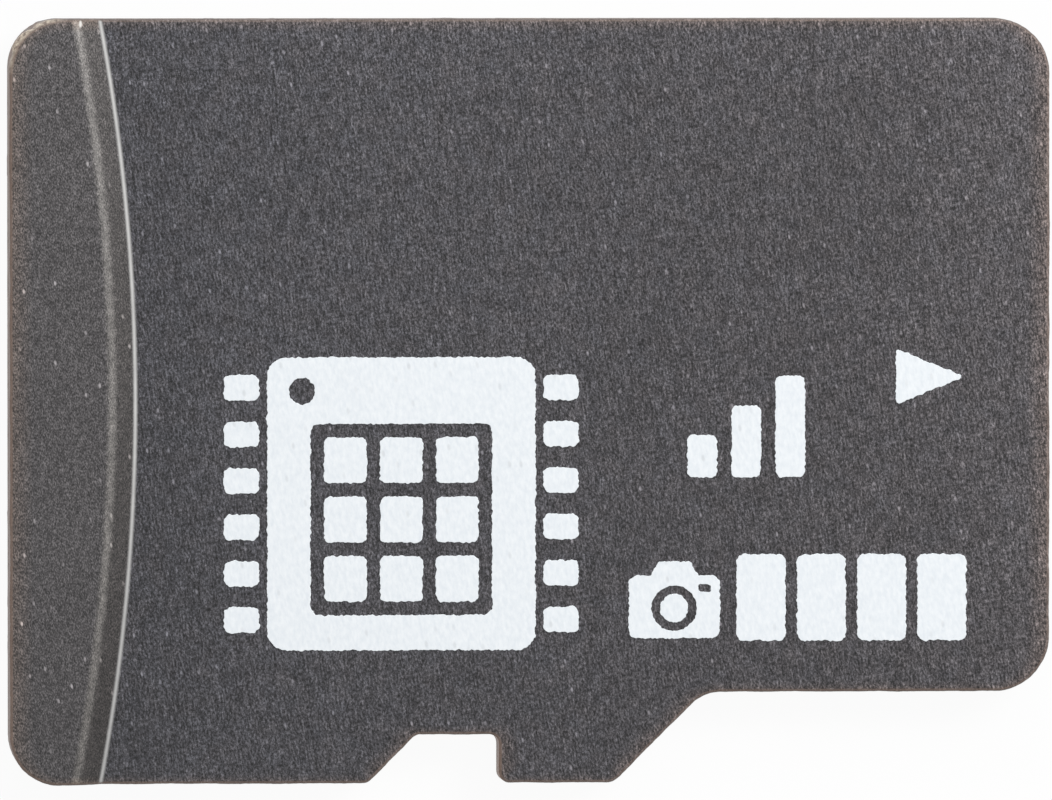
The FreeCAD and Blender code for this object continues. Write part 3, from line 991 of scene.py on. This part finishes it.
def laminate_finish():
    """Board: black solder mask underneath, and a brown cut edge over the dark line of that mask."""
    material, tree, shader = new_finish("laminate")
    height = separated(tree, millimetres(tree))["Z"]
    facing = separated(tree, add_node(tree, "ShaderNodeNewGeometry").outputs["Normal"])
    cut = mapped(tree, facing["Z"], low=-0.9, high=-0.5)
    fibres = noise_node(tree, streaked(tree), size_mm=0.05, detail=3.0, roughness=0.65)
    core = mix_colour(tree, varied(tree, fibres), BOARD_DARK, BOARD_LIGHT)
    mask_thickness, mask_blend = 0.02, 0.01
    above_mask = mapped(tree, height, mask_thickness, mask_thickness + mask_blend)
    edge = mix_colour(tree, above_mask, MASK_EDGE, core)
    peel = noise_node(tree, streaked(tree), size_mm=0.22, detail=2.0, roughness=0.5)
    mask = mix_colour(tree, varied(tree, peel), MASK_DARK, MASK_LIGHT)
    tree.links.new(mix_colour(tree, cut, mask, edge), shader.inputs["Base Color"])
    mask_roughness, cut_edge_roughness = 0.36, 0.6
    rough = mapped(tree, cut, 0, 1, mask_roughness, cut_edge_roughness)
    tree.links.new(rough, shader.inputs["Roughness"])
    add_bump(tree, shader, peel, strength=0.25, depth_mm=0.008)
    return material


def metal_finish(name, colour, dull, roughness):
    """Gold with fine scratches along the card and uneven dullness."""
    material, tree, shader = new_finish(name)
    scratched = streaked(tree, math.radians(90), stretch=14)
    scratches = noise_node(tree, scratched, size_mm=0.03, detail=2.0, roughness=0.6)
    stains = noise_node(tree, streaked(tree), size_mm=0.5, detail=3.0, roughness=0.6)
    stained = mix_colour(tree, mapped(tree, stains, low=0.35, high=0.75), colour, dull)
    tree.links.new(stained, shader.inputs["Base Color"])
    shader.inputs["Metallic"].default_value = 1.0
    smoother, rougher = 0.08, 0.12
    rough = varied(tree, scratches, roughness - smoother, roughness + rougher)
    tree.links.new(rough, shader.inputs["Roughness"])
    add_bump(tree, shader, scratches, strength=0.2, depth_mm=0.002)
    return material


def mottled_finish(name, colour, other, size_mm, roughness):
    """A plain inner piece with slight mottling."""
    material, tree, shader = new_finish(name)
    mottle = noise_node(tree, streaked(tree), size_mm, detail=3.0, roughness=0.6)
    mottled = mix_colour(tree, varied(tree, mottle), colour, other)
    tree.links.new(mottled, shader.inputs["Base Color"])
    spread = 0.06
    rough = varied(tree, mottle, roughness - spread, roughness + spread)
    tree.links.new(rough, shader.inputs["Roughness"])
    return material


# Stage

def seen_directly(tree):
    """1 where a surface is seen by the camera, in a reflection or through glass."""
    path = add_node(tree, "ShaderNodeLightPath").outputs
    seen = math_node(tree, "MAXIMUM", path["Is Camera Ray"], path["Is Glossy Ray"])
    return math_node(tree, "MAXIMUM", seen, path["Is Transmission Ray"])


def build_floor(size, shadow_reach, white_reach, white_share):
    """A floor that keeps a little of the card's shadow and turns plain white farther away, in metres."""
    bpy.ops.mesh.primitive_plane_add(size=size, location=(0, 0, 0))
    floor = bpy.context.object
    floor.name = "floor"
    material = bpy.data.materials.new("floor")
    material.use_nodes = True
    tree = material.node_tree
    tree.nodes.clear()
    matt = add_node(tree, "ShaderNodeBsdfDiffuse", {"Color": FLOOR_GREY}).outputs[0]
    white = add_node(tree, "ShaderNodeEmission", {"Color": WHITE, "Strength": 1.0}).outputs[0]
    place = add_node(tree, "ShaderNodeTexCoord").outputs["Object"]
    whitened = mapped(tree, vector_length(tree, place), shadow_reach, white_reach, white_share, 1.0)
    share = product(tree, seen_directly(tree), whitened)
    mix = add_node(tree, "ShaderNodeMixShader", {0: share, 1: matt, 2: white}).outputs[0]
    add_node(tree, "ShaderNodeOutputMaterial", {"Surface": mix})
    floor.data.materials.append(material)


def build_world(level):
    """Even light from all round, and a white background."""
    world = bpy.data.worlds.new("studio")
    bpy.context.scene.world = world
    world.use_nodes = True
    tree = world.node_tree
    tree.nodes.clear()
    light = add_node(tree, "ShaderNodeBackground", {"Color": WHITE, "Strength": level}).outputs[0]
    white = add_node(tree, "ShaderNodeBackground", {"Color": WHITE, "Strength": 1.0}).outputs[0]
    mix = add_node(tree, "ShaderNodeMixShader", {0: seen_directly(tree), 1: light, 2: white}).outputs[0]
    add_node(tree, "ShaderNodeOutputWorld", {"Surface": mix})


def build_softbox(name, azimuth, zenith, distance, size, radiance):
    """A rectangular soft light that faces the card, with its place and size in metres.

    The azimuth runs from +X towards +Y, and both angles are in degrees.
    """
    light = bpy.data.lights.new(name, "AREA")
    light.shape = "RECTANGLE"
    light.size, light.size_y = size
    light.energy = math.pi * size[0] * size[1] * radiance
    lamp = bpy.data.objects.new(name, light)
    bpy.context.scene.collection.objects.link(lamp)
    a, z = math.radians(azimuth), math.radians(zenith)
    towards = Vector((math.sin(z) * math.cos(a), math.sin(z) * math.sin(a), math.cos(z)))
    lamp.location = towards * distance
    lamp.rotation_euler = towards.to_track_quat("Z", "Y").to_euler()
    lamp.visible_camera = False


def build_camera():
    """Above the card, leaning to the grip end and the straight edge, framed as the photograph is."""
    photo_width_pixels, pixels_per_mm = 1052, 69.52
    frame_width = photo_width_pixels / pixels_per_mm
    lens, sensor = 600.0, 36.0
    lean_rear, lean_straight = math.radians(3.8), math.radians(2.0)
    target = Vector((-0.063, 0.015, LABEL_Z))
    camera = bpy.data.cameras.new("camera")
    camera.lens = lens
    camera.sensor_width = sensor
    camera.clip_start, camera.clip_end = 0.001, 10.0
    seat = bpy.data.objects.new("camera", camera)
    bpy.context.scene.collection.objects.link(seat)
    seat.rotation_euler = (-lean_straight, -lean_rear, 0)
    towards = seat.rotation_euler.to_matrix() @ Vector((0, 0, 1))
    seat.location = (target + towards * (frame_width * lens / sensor)) * MM
    bpy.context.scene.camera = seat


# Assembly

moulding_material = moulding_finish()
ink_material = ink_finish()
moulding = build_moulding(moulding_material)
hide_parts("moulded_body")
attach(moulding, "root")

PRINTS = {
    "print_chip": chip_loops,
    "print_bars": bar_loops,
    "print_camera": camera_loops,
    "print_capacity": capacity_loops,
    "print_arrow": arrow_loops,
}
for name, loops in PRINTS.items():
    piece = build_print(name, loops(), ink_material)
    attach(piece, "root")

FINISHES = {
    "moulding_compound": moulding_material,
    "laminate": laminate_finish(),
    "contact_gold": metal_finish("contact_gold", CONTACT_BRIGHT, CONTACT_DULL, roughness=0.3),
    "silicon": mottled_finish("silicon", SILICON_DARK, SILICON_LIGHT, size_mm=0.6, roughness=0.25),
    "capacitor_ceramic": mottled_finish("capacitor", CERAMIC_DARK, CERAMIC_LIGHT, size_mm=0.1, roughness=0.5),
    "wire_gold": metal_finish("wire_gold", WIRE_BRIGHT, WIRE_DULL, roughness=0.2),
}
for part in frame["record"]["subparts"]:
    materials = frame["nodes"][part["node"]].data.materials
    materials.clear()
    materials.append(FINISHES[part["material_slot"]])

build_floor(size=4.0, shadow_reach=0.01, white_reach=0.05, white_share=0.94)
build_world(level=0.47)
build_softbox("side_light", azimuth=40, zenith=50, distance=0.15, size=(0.072, 0.051), radiance=12.3)
build_softbox("top_light", azimuth=90, zenith=66, distance=0.105, size=(0.09, 0.036), radiance=3.35)
build_camera()
bpy.context.scene.view_settings.view_transform = "Standard"
